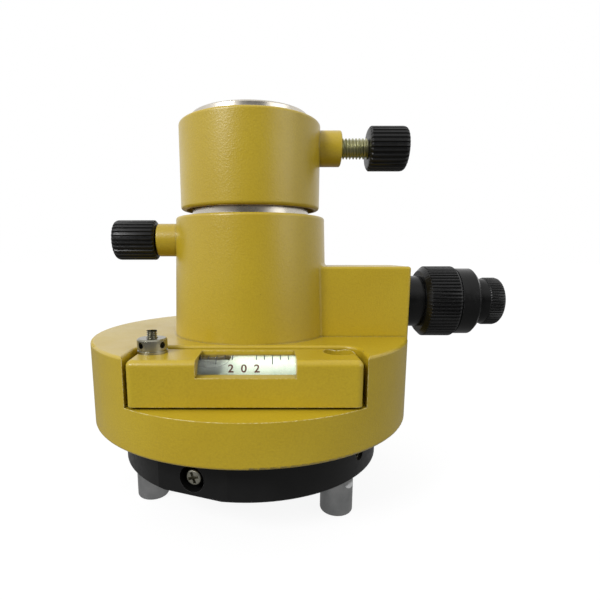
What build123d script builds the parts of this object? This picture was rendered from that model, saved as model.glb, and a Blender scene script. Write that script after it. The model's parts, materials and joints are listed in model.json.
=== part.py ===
from build123d import *
import os
from math import sqrt

# Rotating tribrach adapter with optical plummet and tubular level.
# Units are millimetres. +Z is up and is the vertical axis of rotation.
# The origin is on that axis, in the plane of the base plate's underside.
# +X points to the plummet's eyepiece, -Y to the side that carries the level.

# Base plate and feet
PLATE_RADIUS = 39.7
PLATE_HEIGHT = 12.0
FLAT_ANGLE = 248.8
FLAT_DISTANCE = 38.4
FOOT_CIRCLE_RADIUS = 32.6
FOOT_ANGLES = (81.1, 201.1, 321.1)
FOOT_RADIUS = 4.7
FOOT_LENGTH = 12.9
FOOT_SEAT_RADIUS = 5.0
FOOT_SEAT_DEPTH = 0.6
FOOT_NECK_RADIUS = 4.2
FOOT_SPIGOT_RADIUS = 3.0
FOOT_SPIGOT_TOP = 9.0
FOOT_SCREW_RADIUS = 2.0
FOOT_SCREW_HEIGHT = 6.5
LOCK_SCREW_HEIGHT = 4.5
LOCK_SEAT_DISTANCE = 32.0
LOCK_COUNTERBORE_RADIUS = 3.55
LOCK_HEAD_RADIUS = 2.25
LOCK_HEAD_HEIGHT = 5.7
M3_RADIUS = 1.5

# Lower axis, which the housing turns on
SIGHT_HOLE_RADIUS = 6.0
SPIGOT_RADIUS = 13.0
SPIGOT_BOTTOM = 4.0
FLANGE_RADIUS = 21.0
FLANGE_TOP = 15.0
AXIS_SCREW_CIRCLE_RADIUS = 17.0
AXIS_SCREW_ANGLES = (20.0, 110.0, 200.0, 290.0)
AXIS_SCREW_HEAD_RADIUS = 3.0
AXIS_SCREW_HEAD_LOW = 0.3
AXIS_SCREW_HEAD_HIGH = 1.9
AXIS_SCREW_TOP = 14.5
JOURNAL_RADIUS = 11.0
JOURNAL_TOP = 36.2
AXIS_THREAD_RADIUS = 10.5
AXIS_TOP = 39.6
AXIS_NUT_RADIUS = 13.3
WASHER_TOP = 15.8
RUNNING_CLEARANCE = 0.04

# Housing
DISC_RADIUS = 48.0
DISC_BOTTOM = 12.8
DISC_TOP = 36.8
BODY_BOTTOM_RADIUS = 23.6
BODY_TOP_RADIUS = 22.4
BODY_TOP = 71.7
LOWER_BORE_RADIUS = 14.0
LEDGE_HEIGHT = 40.0
CAVITY_RADIUS = 18.0
UPPER_BORE_RADIUS = 19.0
UPPER_BORE_BOTTOM = 57.1
RELIEF_INNER_RADIUS = 25.0
RELIEF_OUTER_RADIUS = 43.5
RELIEF_TOP = 31.0
RELIEF_FRONT = -18.0
PAINT_EDGE = 0.8

# Plummet box on the housing, and the sight line along X
BOX_END = 47.0
BOX_HALF_WIDTH = 10.75
BOX_TOP = 57.4
SIGHT_HEIGHT = 46.35
BARREL_RADIUS = 7.9

# Collar and top spindle
COLLAR_RADIUS = 20.8
COLLAR_BOTTOM = 73.8
COLLAR_TOP = 98.1
COLLAR_SCREW_ANGLES = (60.0, 120.0)
COLLAR_SCREW_HEIGHT = 81.0
SPINDLE_RADIUS = 17.5
SPINDLE_SHOULDER = 71.8
SPINDLE_TOP = 100.3
SOCKET_RADIUS = 12.5
SOCKET_DEPTH = 24.0
TOP_JOURNAL_RADIUS = 15.0
TOP_JOURNAL_BOTTOM = 55.0
CIRCLIP_GROOVE = (56.0, 57.0)
CIRCLIP_INNER_RADIUS = 14.0
CIRCLIP_OUTER_RADIUS = 16.6
THROUGH_HOLE_RADIUS = 6.0

# Clamp screws, M6
CLAMP_SCREW_RADIUS = 2.95
CLAMP_HOLE_RADIUS = 3.05
PAD_RADIUS = 2.4
PAD_LENGTH = 2.5
PAD_STEM_RADIUS = 1.2
PAD_STEM_LENGTH = 2.0
UPPER_CLAMP_HEIGHT = 91.9
UPPER_BOSS_RADIUS = 5.1
UPPER_BOSS_END = 27.0
UPPER_KNOB_START = 35.1
UPPER_KNOB_LENGTH = 11.4
UPPER_KNOB_RADIUS = 6.33
UPPER_PAD_TIP = 13.6
LOWER_CLAMP_HEIGHT = 65.2
LOWER_BOSS_RADIUS = 4.95
LOWER_BOSS_END = 28.4
LOWER_KNOB_START = 28.7
LOWER_KNOB_LENGTH = 12.8
LOWER_KNOB_RADIUS = 6.0
LOWER_PAD_TIP = 15.05

# Level in its pocket at the front of the housing
POCKET_LEFT = -29.15
POCKET_RIGHT = 29.6
POCKET_CORNER_RADIUS = 4.5
POCKET_BACK = -24.2
POCKET_FLOOR = 24.2
HOLDER_LEFT = -28.2
HOLDER_RIGHT = 28.4
HOLDER_BACK = -24.45
HOLDER_FRONT = -39.5
HOLDER_BOTTOM = 24.8
HOLDER_TOP = 36.2
VIAL_DEPTH = -31.0
VIAL_HEIGHT = 30.6
VIAL_RADIUS = 5.0
VIAL_BORE_RADIUS = 4.1
VIAL_HALF_LENGTH = 17.8
CAVITY_HALF_LENGTH = 18.4
BUBBLE_PLACE = -8.8
BUBBLE_HALF_LENGTH = 5.0
WINDOW_LEFT = -11.6
WINDOW_RIGHT = 12.4
WINDOW_BACK = -27.8
WINDOW_SILL = 32.0
STUD_PLACE = (-24.0, -29.3)
STUD_RADIUS = 1.35
STUD_TOP = 41.8
STUD_HOLE_RADIUS = 1.9
NUT_RADIUS = 3.8
NUT_TOP = 39.9
NUT_BEARING = 0.02
TOMMY_HOLE_RADIUS = 0.82
TOMMY_HOLE_HEIGHT = 2.2
SPRING_SEAT = 20.0
SPRING_POCKET_TOP = 31.0
SPRING_POCKET_RADIUS = 3.3
PIVOT_PLACE = (23.85, -28.9)
PIVOT_SEAT = 28.6
PIVOT_COUNTERBORE_RADIUS = 4.1
PIVOT_HEAD_RADIUS = 3.5
PIVOT_SHANK_RADIUS = 2.0

# Plummet tube, as distances from the vertical axis along X
BARREL_START = 18.2
NECK_END = 52.4
RING_START = 52.5
RING_START_RADIUS = 9.5
RING_CONE_END = 53.9
RING_END = 63.1
RING_RADIUS = 10.9
RING_GROOVE_RADIUS = 9.0
COVER_START = 63.2
COVER_END = 68.8
COVER_RADIUS = 10.2
COVER_MOUTH_RADIUS = 7.2
COVER_LIP = 68.4
PIN_PLACE = 58.3
PIN_TRAVEL = 2.4
PIN_RADIUS = 0.8
CELL_RADIUS = 5.35
CELL_BORE_RADIUS = 4.5
LENS_BORE_RADIUS = 5.4
RETICLE_PLACE = 66.6
SKIRT_START = 68.9
SKIRT_START_RADIUS = 6.3
SKIRT_CONE_END = 70.6
SKIRT_RADIUS = 7.0
KNOB_START = 72.6
KNOB_END = 77.6
KNOB_RADIUS = 7.35
KNOB_BORE_RADIUS = 5.9
EYE_HOLE_RADIUS = 3.0
EYE_THREAD_RADIUS = 5.75
EYE_BORE_RADIUS = 5.0
EYE_LENS_RADIUS = 4.1
REDUCED_RADIUS = 7.0
REDUCED_END = 65.2
RETICLE_HOUSING_RADIUS = 8.7
RETICLE_HOUSING_END = 68.3
RETICLE_WALL = 67.8
EYE_SEAT_RADIUS = 5.6
RETICLE_SCREW_ANGLES = (45, 135, 225, 315)
RETICLE_SCREW_RADIUS = 0.8
RETICLE_CELL_RADIUS = 6.2
RETICLE_RADIUS = 4.0

# Prism that turns the sight line down through the axis
PRISM_HALF = 4.5
PRISM_BOTTOM = 41.85
PRISM_MOUNT_RADIUS = 17.8
M2_RADIUS = 1.0
CHEEK_INNER = 4.55
CHEEK_OUTER = 8.0
MOUNT_SCREW_CIRCLE_RADIUS = 16.0
MOUNT_SCREW_ANGLES = (60, 180, 300)

BOTTOM_ALIGNED = (Align.CENTER, Align.CENTER, Align.MIN)


# Shapes that several pieces use

def rod(radius, low, high):
    """Cylinder on the Z axis between two heights."""
    return Pos(0, 0, low) * Cylinder(radius, high - low, align=BOTTOM_ALIGNED)


def tube(outer, inner, low, high):
    """Hollow cylinder on the Z axis between two heights."""
    return rod(outer, low, high) - rod(inner, low - 1, high + 1)


def turned(*outline):
    """Solid of revolution about Z from its (radius, height) corners."""
    corners = [(radius, 0, height) for radius, height in outline]
    return revolve(make_face(Polyline(*corners, close=True)), Axis.Z)


def block(x, y, z):
    """Box between three pairs of coordinates."""
    size = (x[1] - x[0], y[1] - y[0], z[1] - z[0])
    centre = ((x[0] + x[1]) / 2, (y[0] + y[1]) / 2, (z[0] + z[1]) / 2)
    return Pos(*centre) * Box(*size)


def rims(solid, radius, height):
    """Circular edges about the Z axis with one radius, at one height."""
    circles = solid.edges().filter_by(GeomType.CIRCLE)
    return [
        edge for edge in circles
        if abs(edge.radius - radius) < 0.01 and abs(edge.arc_center.Z - height) < 0.01
    ]


def along_x(shape, height, sense=1):
    """Lay a shape made on +Z along +X, or along -X, at a height."""
    return Pos(0, 0, height) * Rot(0, 90 * sense, 0) * shape


def radial(shape, angle, height):
    """Lay a shape made on +Z outwards at an angle about the vertical axis."""
    return Pos(0, 0, height) * Rot(0, 0, angle) * Rot(0, 90, 0) * shape


def ring_of(shape, radius, angles):
    """Copies of a shape, moved out to a circle about the Z axis."""
    return [Rot(0, 0, angle) * Pos(radius, 0, 0) * shape for angle in angles]


def hexagon_socket(across_flats, low, high):
    """Six-sided cutter for a socket screw."""
    corner_radius = across_flats / sqrt(3)
    return Pos(0, 0, low) * extrude(RegularPolygon(corner_radius, 6), high - low)


# Base group

def axis_screw_shape():
    """Countersunk M3 screw, its head towards the plate's underside."""
    return turned(
        (0, AXIS_SCREW_HEAD_LOW),
        (AXIS_SCREW_HEAD_RADIUS, AXIS_SCREW_HEAD_LOW),
        (M3_RADIUS, AXIS_SCREW_HEAD_HIGH),
        (M3_RADIUS, AXIS_SCREW_TOP),
        (0, AXIS_SCREW_TOP),
    )


def make_base_plate():
    plate = rod(PLATE_RADIUS, 0, PLATE_HEIGHT)
    plate = chamfer(rims(plate, PLATE_RADIUS, 0), 0.4)
    flat = block((FLAT_DISTANCE, PLATE_RADIUS + 5), (-30, 30), (-1, PLATE_HEIGHT + 1))
    plate -= Rot(0, 0, FLAT_ANGLE) * flat
    plate -= rod(SIGHT_HOLE_RADIUS + 1, -1, PLATE_HEIGHT)
    plate -= rod(SPIGOT_RADIUS, SPIGOT_BOTTOM, PLATE_HEIGHT + 1)
    counterbore = rod(LOCK_COUNTERBORE_RADIUS, LOCK_SEAT_DISTANCE, PLATE_RADIUS + 1)
    screw_hole = rod(M3_RADIUS, SPIGOT_RADIUS - 1, PLATE_RADIUS)
    plate -= radial(counterbore, FLAT_ANGLE, LOCK_SCREW_HEIGHT)
    plate -= radial(screw_hole, FLAT_ANGLE, LOCK_SCREW_HEIGHT)
    foot_hole = rod(FOOT_SPIGOT_RADIUS, -1, FOOT_SPIGOT_TOP) + rod(FOOT_SEAT_RADIUS, -1, FOOT_SEAT_DEPTH)
    for hole in ring_of(foot_hole, FOOT_CIRCLE_RADIUS, FOOT_ANGLES):
        plate -= hole
    for angle in FOOT_ANGLES:
        grub_hole = rod(FOOT_SCREW_RADIUS, FOOT_CIRCLE_RADIUS, PLATE_RADIUS + 1)
        plate -= radial(grub_hole, angle, FOOT_SCREW_HEIGHT)
    countersunk_hole = axis_screw_shape() + rod(AXIS_SCREW_HEAD_RADIUS, -1, AXIS_SCREW_HEAD_LOW)
    for hole in ring_of(countersunk_hole, AXIS_SCREW_CIRCLE_RADIUS, AXIS_SCREW_ANGLES):
        plate -= hole
    return plate


def make_feet():
    foot = rod(FOOT_RADIUS, -FOOT_LENGTH, 0)
    foot = fillet(rims(foot, FOOT_RADIUS, -FOOT_LENGTH), 1.0)
    foot += rod(FOOT_NECK_RADIUS, -1, FOOT_SEAT_DEPTH)
    foot += rod(FOOT_SPIGOT_RADIUS, -1, FOOT_SPIGOT_TOP)
    scallop_radius = 5.0
    scallop_depth = 1.0
    scallop_centre = FOOT_RADIUS + scallop_radius - scallop_depth
    foot -= Pos(scallop_centre, 0, -1.6) * Rot(90, 0, 0) * Cylinder(scallop_radius, 20)
    return ring_of(foot, FOOT_CIRCLE_RADIUS, FOOT_ANGLES)


def make_foot_grub_screws():
    inner_end = FOOT_CIRCLE_RADIUS + FOOT_SPIGOT_RADIUS
    screw = rod(FOOT_SCREW_RADIUS, inner_end, PLATE_RADIUS - 0.8)
    screw -= hexagon_socket(2.0, PLATE_RADIUS - 2.6, PLATE_RADIUS)
    return [radial(screw, angle, FOOT_SCREW_HEIGHT) for angle in FOOT_ANGLES]


def make_base_lock_screw():
    head_top = LOCK_SEAT_DISTANCE + LOCK_HEAD_HEIGHT
    screw = rod(LOCK_HEAD_RADIUS, LOCK_SEAT_DISTANCE, head_top)
    screw = fillet(rims(screw, LOCK_HEAD_RADIUS, head_top), 0.7)
    screw += rod(M3_RADIUS, SPIGOT_RADIUS, LOCK_SEAT_DISTANCE)
    recess_depth = 1.4
    for turn in (0, 90):
        arm = block((-1.55, 1.55), (-0.4, 0.4), (head_top - recess_depth, head_top + 1))
        screw -= Rot(0, 0, turn) * arm
    return radial(Rot(0, 0, 20) * screw, FLAT_ANGLE, LOCK_SCREW_HEIGHT)


def make_lower_axis():
    axis = turned(
        (SIGHT_HOLE_RADIUS, SPIGOT_BOTTOM),
        (SPIGOT_RADIUS, SPIGOT_BOTTOM),
        (SPIGOT_RADIUS, PLATE_HEIGHT),
        (FLANGE_RADIUS, PLATE_HEIGHT),
        (FLANGE_RADIUS, FLANGE_TOP),
        (JOURNAL_RADIUS, FLANGE_TOP),
        (JOURNAL_RADIUS, JOURNAL_TOP),
        (AXIS_THREAD_RADIUS, JOURNAL_TOP),
        (AXIS_THREAD_RADIUS, AXIS_TOP),
        (SIGHT_HOLE_RADIUS, AXIS_TOP),
    )
    screw_hole = rod(M3_RADIUS, PLATE_HEIGHT - 1, AXIS_SCREW_TOP)
    for hole in ring_of(screw_hole, AXIS_SCREW_CIRCLE_RADIUS, AXIS_SCREW_ANGLES):
        axis -= hole
    return axis


def make_axis_nut():
    nut = tube(AXIS_NUT_RADIUS, AXIS_THREAD_RADIUS, JOURNAL_TOP + 0.05, AXIS_TOP)
    for angle in (0, 90, 180, 270):
        nut -= Rot(0, 0, angle) * block((12.0, 15.0), (-1.2, 1.2), (JOURNAL_TOP, AXIS_TOP + 1))
    return nut


# Housing

def make_housing():
    outer = turned((0, DISC_BOTTOM), (DISC_RADIUS, DISC_BOTTOM), (DISC_RADIUS, DISC_TOP), (0, DISC_TOP))
    outer = fillet(rims(outer, DISC_RADIUS, DISC_BOTTOM), PAINT_EDGE)
    pocket = block(
        (POCKET_LEFT, POCKET_RIGHT),
        (-DISC_RADIUS - 5, POCKET_BACK),
        (POCKET_FLOOR, DISC_TOP + 1),
    )
    back_corners = pocket.edges().filter_by(Axis.Z).group_by(Axis.Y)[-1]
    pocket = fillet(back_corners, POCKET_CORNER_RADIUS)
    outer -= pocket
    top_edges = outer.edges().filter_by_position(Axis.Z, DISC_TOP - 0.01, DISC_TOP + 0.01)
    outer = fillet(top_edges, PAINT_EDGE)

    body = turned(
        (0, DISC_TOP - 5),
        (BODY_BOTTOM_RADIUS, DISC_TOP - 5),
        (BODY_BOTTOM_RADIUS, DISC_TOP),
        (BODY_TOP_RADIUS, BODY_TOP),
        (0, BODY_TOP),
    )
    body = fillet(rims(body, BODY_TOP_RADIUS, BODY_TOP), PAINT_EDGE)
    box = block((0, BOX_END), (-BOX_HALF_WIDTH, BOX_HALF_WIDTH), (DISC_TOP - 5, BOX_TOP))
    box_edges = box.faces().sort_by(Axis.Z)[-1].edges() + box.faces().sort_by(Axis.X)[-1].edges()
    lowest_edge = box_edges.sort_by(Axis.Z)[0]
    box = fillet([edge for edge in box_edges if edge.center() != lowest_edge.center()], PAINT_EDGE)
    body += box
    seam = [
        edge for edge in body.edges()
        if abs(abs(edge.center().Y) - BOX_HALF_WIDTH) < 0.2
        and 18 < edge.center().X < 24
        and edge.length > 15
    ]
    body = fillet(seam, 1.2)
    boss = rod(LOWER_BOSS_RADIUS, UPPER_BORE_RADIUS, LOWER_BOSS_END)
    boss = fillet(rims(boss, LOWER_BOSS_RADIUS, LOWER_BOSS_END), 0.5)
    casting = outer + body + along_x(boss, LOWER_CLAMP_HEIGHT, -1)

    casting -= rod(FLANGE_RADIUS + 1, DISC_BOTTOM - 1, WASHER_TOP + 0.05)
    casting -= rod(LOWER_BORE_RADIUS, DISC_BOTTOM, LEDGE_HEIGHT)
    casting -= rod(CAVITY_RADIUS, LEDGE_HEIGHT, UPPER_BORE_BOTTOM)
    casting -= rod(UPPER_BORE_RADIUS, UPPER_BORE_BOTTOM, BODY_TOP + 1)
    relief = tube(RELIEF_OUTER_RADIUS, RELIEF_INNER_RADIUS, DISC_BOTTOM - 1, RELIEF_TOP)
    relief -= block((-60, 60), (-60, RELIEF_FRONT), (0, RELIEF_TOP + 1))
    casting -= relief
    casting -= along_x(rod(BARREL_RADIUS, CAVITY_RADIUS - 3, BOX_END + 1), SIGHT_HEIGHT)
    casting -= along_x(rod(CLAMP_HOLE_RADIUS, CAVITY_RADIUS, LOWER_BOSS_END + 1), LOWER_CLAMP_HEIGHT, -1)
    casting -= Pos(*STUD_PLACE, 0) * rod(STUD_RADIUS, 16, POCKET_FLOOR + 1)
    casting -= Pos(*STUD_PLACE, 0) * rod(SPRING_POCKET_RADIUS, SPRING_SEAT, POCKET_FLOOR + 1)
    casting -= Pos(*PIVOT_PLACE, 0) * rod(PIVOT_SHANK_RADIUS, 14.5, POCKET_FLOOR + 1)
    for hole in ring_of(
        rod(M2_RADIUS, LEDGE_HEIGHT - 4, LEDGE_HEIGHT + 1), MOUNT_SCREW_CIRCLE_RADIUS, MOUNT_SCREW_ANGLES
    ):
        casting -= hole
    return casting


# Collar, top spindle and their fixings

def make_collar():
    collar = turned(
        (SPINDLE_RADIUS, COLLAR_BOTTOM + 1.6),
        (19.3, COLLAR_BOTTOM + 1.6),
        (19.3, COLLAR_BOTTOM),
        (COLLAR_RADIUS, COLLAR_BOTTOM),
        (COLLAR_RADIUS, COLLAR_TOP),
        (SPINDLE_RADIUS, COLLAR_TOP),
    )
    collar = fillet(rims(collar, COLLAR_RADIUS, COLLAR_BOTTOM), 0.9)
    collar = fillet(rims(collar, COLLAR_RADIUS, COLLAR_TOP), PAINT_EDGE)
    boss = rod(UPPER_BOSS_RADIUS, SPINDLE_RADIUS + 1, UPPER_BOSS_END)
    boss = fillet(rims(boss, UPPER_BOSS_RADIUS, UPPER_BOSS_END), 0.5)
    collar += along_x(boss, UPPER_CLAMP_HEIGHT)
    collar -= along_x(rod(CLAMP_HOLE_RADIUS, SPINDLE_RADIUS - 2, UPPER_BOSS_END + 1), UPPER_CLAMP_HEIGHT)
    for angle in COLLAR_SCREW_ANGLES:
        collar -= radial(rod(M3_RADIUS, SPINDLE_RADIUS - 2, COLLAR_RADIUS + 1), angle, COLLAR_SCREW_HEIGHT)
    return collar


def make_collar_grub_screws():
    screw = rod(M3_RADIUS, SPINDLE_RADIUS, COLLAR_RADIUS - 0.4)
    screw -= hexagon_socket(1.5, COLLAR_RADIUS - 2, COLLAR_RADIUS)
    return [radial(screw, angle, COLLAR_SCREW_HEIGHT) for angle in COLLAR_SCREW_ANGLES]


def make_top_spindle():
    socket_bottom = SPINDLE_TOP - SOCKET_DEPTH
    spindle = turned(
        (0, SPINDLE_SHOULDER),
        (THROUGH_HOLE_RADIUS, SPINDLE_SHOULDER),
        (THROUGH_HOLE_RADIUS, TOP_JOURNAL_BOTTOM),
        (TOP_JOURNAL_RADIUS, TOP_JOURNAL_BOTTOM),
        (TOP_JOURNAL_RADIUS, SPINDLE_SHOULDER),
        (SPINDLE_RADIUS, SPINDLE_SHOULDER),
        (SPINDLE_RADIUS, SPINDLE_TOP),
        (SOCKET_RADIUS, SPINDLE_TOP),
        (SOCKET_RADIUS, socket_bottom),
        (0, socket_bottom),
    )
    spindle = chamfer(rims(spindle, SPINDLE_RADIUS, SPINDLE_TOP), 0.4)
    spindle = chamfer(rims(spindle, SOCKET_RADIUS, SPINDLE_TOP), 0.8)
    spindle -= tube(TOP_JOURNAL_RADIUS + 1, CIRCLIP_INNER_RADIUS, *CIRCLIP_GROOVE)
    spindle -= along_x(rod(CLAMP_HOLE_RADIUS, SOCKET_RADIUS - 3, SPINDLE_RADIUS + 1), UPPER_CLAMP_HEIGHT)
    return spindle


def make_upper_bush():
    bush = tube(UPPER_BORE_RADIUS, TOP_JOURNAL_RADIUS + RUNNING_CLEARANCE, UPPER_BORE_BOTTOM, BODY_TOP)
    bush -= along_x(rod(CLAMP_HOLE_RADIUS, 10, UPPER_BORE_RADIUS + 1), LOWER_CLAMP_HEIGHT, -1)
    return bush


def make_spindle_circlip():
    low, high = CIRCLIP_GROOVE
    ring = tube(CIRCLIP_OUTER_RADIUS, CIRCLIP_INNER_RADIUS, low + 0.05, high - 0.05)
    return ring - block((10, 20), (-2.5, 2.5), (low - 1, high + 1))


# Clamp screws

def make_clamp(pad_tip, knob_start, knob_length, knob_radius, height, sense):
    """Pad, threaded stud and knob of one clamp screw, laid out from the axis outwards."""
    stud_start = pad_tip + PAD_LENGTH
    knob_end = knob_start + knob_length
    pad = rod(PAD_RADIUS, pad_tip, stud_start)
    pad += rod(PAD_STEM_RADIUS, stud_start, stud_start + PAD_STEM_LENGTH)
    stud = rod(CLAMP_SCREW_RADIUS, stud_start + 0.05, knob_end - 2.5)
    stud = chamfer(rims(stud, CLAMP_SCREW_RADIUS, stud_start + 0.05), 0.4)
    stud -= rod(PAD_STEM_RADIUS + 0.05, stud_start, stud_start + PAD_STEM_LENGTH + 0.2)
    knob = rod(knob_radius, knob_start, knob_end)
    knob = fillet(rims(knob, knob_radius, knob_end), 1.4)
    knob = chamfer(rims(knob, knob_radius, knob_start), 0.4)
    knob -= rod(CLAMP_SCREW_RADIUS, knob_start - 1, knob_end - 2.5)
    return [along_x(piece, height, sense) for piece in (pad, stud, knob)]


# Level

def holder_bore(radius, half_length):
    """Cylinder along X on the vial's centre line."""
    return Pos(0, VIAL_DEPTH, VIAL_HEIGHT) * Rot(0, 90, 0) * Cylinder(radius, 2 * half_length)


def make_level_holder():
    holder = block(
        (HOLDER_LEFT, HOLDER_RIGHT),
        (HOLDER_FRONT, HOLDER_BACK),
        (HOLDER_BOTTOM, HOLDER_TOP),
    )
    upright = holder.edges().filter_by(Axis.Z).group_by(Axis.Y)
    holder = fillet(upright[-1], 3.4)
    upright = holder.edges().filter_by(Axis.Z).group_by(Axis.Y)
    holder = fillet(upright[0], 1.6)
    along_edges = holder.edges().filter_by(Axis.X)
    top_front = along_edges.filter_by_position(Axis.Z, HOLDER_TOP - 0.01, HOLDER_TOP + 0.01)
    holder = fillet(top_front.group_by(Axis.Y)[0], 1.5)
    window = block(
        (WINDOW_LEFT, WINDOW_RIGHT),
        (HOLDER_FRONT - 1, WINDOW_BACK),
        (WINDOW_SILL, HOLDER_TOP + 1),
    )
    slot_half_width = VIAL_RADIUS + 0.2
    slot = block(
        (-CAVITY_HALF_LENGTH, CAVITY_HALF_LENGTH),
        (VIAL_DEPTH - slot_half_width, VIAL_DEPTH + slot_half_width),
        (HOLDER_BOTTOM - 1, VIAL_HEIGHT),
    )
    holder -= window
    holder -= holder_bore(slot_half_width, CAVITY_HALF_LENGTH)
    holder -= slot
    holder -= Pos(*STUD_PLACE, 0) * rod(STUD_HOLE_RADIUS, HOLDER_BOTTOM - 1, HOLDER_TOP + 1)
    holder -= Pos(*STUD_PLACE, 0) * rod(SPRING_POCKET_RADIUS, HOLDER_BOTTOM - 1, SPRING_POCKET_TOP)
    holder -= Pos(*PIVOT_PLACE, 0) * rod(PIVOT_SHANK_RADIUS + 0.4, HOLDER_BOTTOM - 1, HOLDER_TOP + 1)
    holder -= Pos(*PIVOT_PLACE, 0) * rod(PIVOT_COUNTERBORE_RADIUS, PIVOT_SEAT, HOLDER_TOP + 1)
    return holder


def make_vial():
    glass = holder_bore(VIAL_RADIUS, VIAL_HALF_LENGTH)
    ends = glass.edges().filter_by(GeomType.CIRCLE)
    glass = fillet(ends, 0.8)
    return glass - holder_bore(VIAL_BORE_RADIUS, VIAL_HALF_LENGTH - 1.2)


def make_vial_liquid():
    liquid = holder_bore(VIAL_BORE_RADIUS, VIAL_HALF_LENGTH - 1.2)
    bubble_half_height = 1.6
    bubble = scale(Sphere(1), by=(BUBBLE_HALF_LENGTH, 2.6, bubble_half_height))
    bubble_height = VIAL_HEIGHT + VIAL_BORE_RADIUS + 0.3 - bubble_half_height
    return liquid - Pos(BUBBLE_PLACE, VIAL_DEPTH, bubble_height) * bubble


def make_vial_cradles():
    cradles = []
    for x_range in ((-18.2, -14.2), (14.2, 18.2)):
        seat = block(x_range, (VIAL_DEPTH - 5.1, VIAL_DEPTH + 5.1), (HOLDER_BOTTOM + 0.1, VIAL_HEIGHT))
        cradles.append(seat - holder_bore(VIAL_RADIUS, 30))
    return cradles


def make_capstan_nut():
    nut = rod(NUT_RADIUS, HOLDER_TOP + NUT_BEARING, NUT_TOP)
    nut = chamfer(rims(nut, NUT_RADIUS, NUT_TOP), 0.35)
    nut -= tube(NUT_RADIUS + 1, NUT_RADIUS - 0.35, HOLDER_TOP + 0.6, HOLDER_TOP + 1.0)
    nut -= rod(STUD_RADIUS + 0.15, HOLDER_TOP - 1, NUT_TOP + 1)
    for angle in (56, 146):
        nut -= radial(rod(TOMMY_HOLE_RADIUS, -5, 5), angle, HOLDER_TOP + TOMMY_HOLE_HEIGHT)
    return Pos(*STUD_PLACE, 0) * nut


def make_level_stud():
    stud = rod(STUD_RADIUS, 16, STUD_TOP)
    stud = chamfer(rims(stud, STUD_RADIUS, STUD_TOP), 0.3)
    return Pos(*STUD_PLACE, 0) * stud


def make_level_spring():
    wire_radius = 0.3
    coil_radius = 2.4
    low = SPRING_SEAT + wire_radius + 0.05
    high = SPRING_POCKET_TOP - wire_radius - 0.05
    path = Pos(*STUD_PLACE, low) * Helix(pitch=(high - low) / 6, height=high - low, radius=coil_radius)
    section = Plane(path @ 0, z_dir=path % 0) * Circle(wire_radius)
    return sweep(section, path)


def make_pivot_screw():
    head_low = PIVOT_SEAT + 0.75
    head_high = head_low + 3.2
    screw = rod(PIVOT_HEAD_RADIUS, head_low, head_high) + rod(PIVOT_SHANK_RADIUS, 15, head_low)
    screw = chamfer(rims(screw, PIVOT_HEAD_RADIUS, head_high), 0.3)
    screw -= hexagon_socket(3.0, head_high - 2, head_high + 1)
    return Pos(*PIVOT_PLACE, 0) * screw


def make_pivot_washer():
    washer = tube(PIVOT_HEAD_RADIUS + 0.3, PIVOT_SHANK_RADIUS, PIVOT_SEAT + 0.05, PIVOT_SEAT + 0.75)
    return Pos(*PIVOT_PLACE, 0) * washer


# Optical plummet

def plummet(*pieces):
    """Pieces turned about Z, laid along the sight line. Their Z becomes the row's X."""
    laid = [along_x(piece, SIGHT_HEIGHT) for piece in pieces]
    return laid if len(laid) > 1 else laid[0]


def make_plummet_barrel():
    barrel = turned(
        (LENS_BORE_RADIUS, BARREL_START),
        (BARREL_RADIUS, BARREL_START),
        (BARREL_RADIUS, NECK_END),
        (REDUCED_RADIUS, NECK_END),
        (REDUCED_RADIUS, REDUCED_END),
        (LENS_BORE_RADIUS, REDUCED_END),
        (LENS_BORE_RADIUS, 24.0),
        (4.6, 24.0),
        (4.6, 23.0),
        (LENS_BORE_RADIUS, 23.0),
    )
    slot_reach = PIN_TRAVEL + PIN_RADIUS + 0.1
    slot = block(
        (-REDUCED_RADIUS - 1, 0),
        (-PIN_RADIUS - 0.1, PIN_RADIUS + 0.1),
        (PIN_PLACE - slot_reach, PIN_PLACE + slot_reach),
    )
    return plummet(barrel - slot)


def make_objective():
    lens = turned((0, 20.4), (5.4, 21.0), (5.4, 23.0), (0, 22.8))
    ring = tube(5.4, 4.6, 19.2, 20.9)
    return plummet(lens, ring)


def make_focusing_group():
    cell_start = PIN_PLACE - 5.8
    cell = tube(CELL_RADIUS, CELL_BORE_RADIUS, cell_start, cell_start + 8.5)
    pin = Pos(0, 0, PIN_PLACE) * Rot(0, -90, 0) * rod(PIN_RADIUS, CELL_BORE_RADIUS, 8.8)
    cell -= pin
    lens = turned(
        (0, cell_start + 2.5),
        (CELL_BORE_RADIUS, cell_start + 2.0),
        (CELL_BORE_RADIUS, cell_start + 4.0),
        (0, cell_start + 3.5),
    )
    return plummet(cell, pin, lens)


def make_focusing_ring():
    groove_reach = PIN_TRAVEL + PIN_RADIUS + 0.2
    bore_radius = REDUCED_RADIUS + 0.05
    ring = turned(
        (bore_radius, RING_START),
        (RING_START_RADIUS, RING_START),
        (RING_RADIUS, RING_CONE_END),
        (RING_RADIUS, RING_END - 0.8),
        (RING_RADIUS - 0.8, RING_END),
        (bore_radius, RING_END),
        (bore_radius, PIN_PLACE + groove_reach),
        (RING_GROOVE_RADIUS, PIN_PLACE + groove_reach),
        (RING_GROOVE_RADIUS, PIN_PLACE - groove_reach),
        (bore_radius, PIN_PLACE - groove_reach),
    )
    return plummet(ring)


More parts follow.
